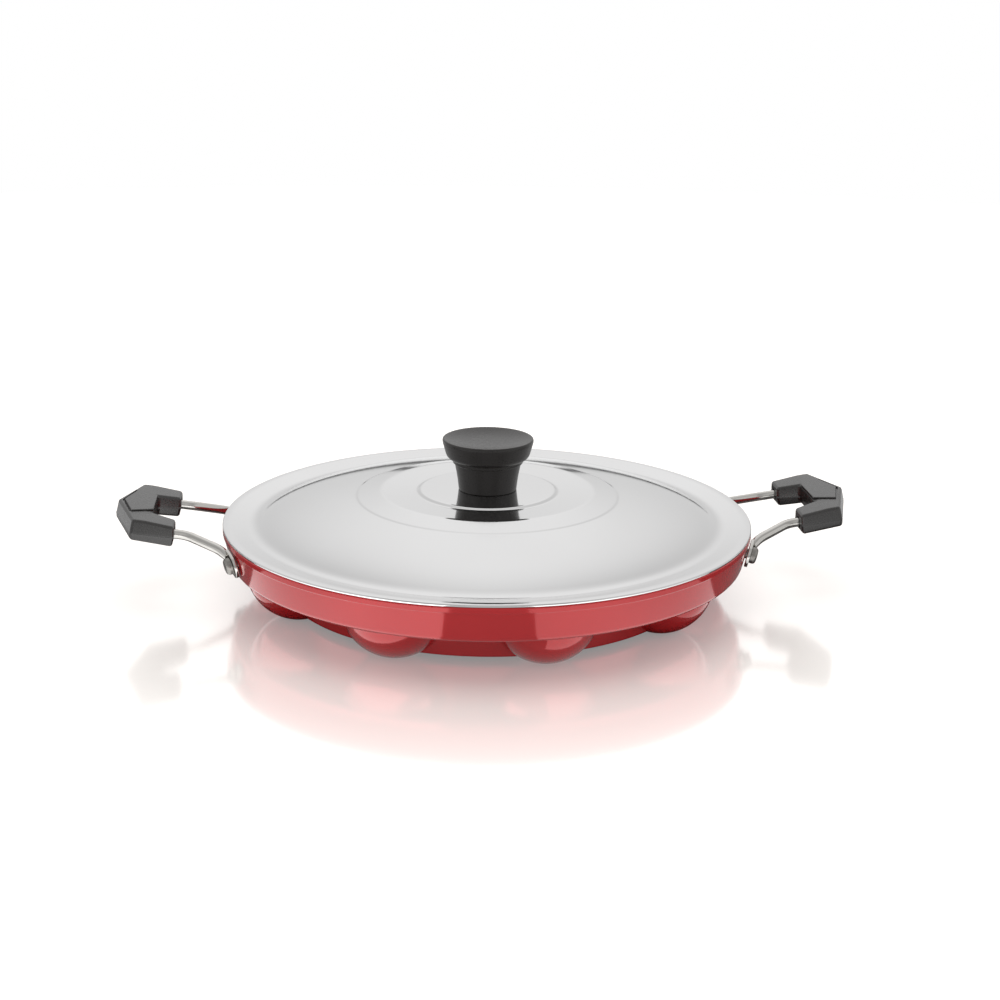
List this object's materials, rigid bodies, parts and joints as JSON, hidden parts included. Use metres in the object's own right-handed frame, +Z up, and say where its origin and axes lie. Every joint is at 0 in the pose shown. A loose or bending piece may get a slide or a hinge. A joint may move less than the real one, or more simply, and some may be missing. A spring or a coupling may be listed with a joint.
{
  "type": "paniyaram pan",
  "caption": "Two-handled cast pan with round cups in its deck for batter dumplings, red outside, with a domed steel lid and a black knob.",
  "frame": {"origin": "on the ground under the middle of the pan, level with the flat feet of the cups", "axes": "+X through the right handle, +Z up through the lid's knob"},
  "size_m": [0.321, 0.23, 0.0687],
  "materials": {
    "red_enamel": "gloss",
    "polished_steel": "polished",
    "black_bakelite": "satin",
    "bright_wire": "satin",
    "rivet_aluminium": "satin",
    "brass": "satin",
    "zinc_steel": "satin"
  },
  "bodies": {
    "pan": {"pan_body": "red_enamel", "right_handle_wire": "bright_wire", "right_grip_upper": "black_bakelite", "right_grip_lower": "black_bakelite", "right_grip_screw_1": "zinc_steel", "right_grip_screw_2": "zinc_steel", "right_rivet_1": "rivet_aluminium", "right_rivet_2": "rivet_aluminium", "left_handle_wire": "bright_wire", "left_grip_upper": "black_bakelite", "left_grip_lower": "black_bakelite", "left_grip_screw_1": "zinc_steel", "left_grip_screw_2": "zinc_steel", "left_rivet_1": "rivet_aluminium", "left_rivet_2": "rivet_aluminium"},
    "lid_set": {"lid": "polished_steel", "lid_knob": "black_bakelite", "knob_insert": "brass", "knob_screw": "zinc_steel", "knob_washer": "zinc_steel"}
  },
  "joints": [
    {"name": "lid_lift", "type": "slide", "parent": "pan", "child": "lid_set", "axis": [0, 0, 1], "range_m": [0, 0.12]}
  ]
}
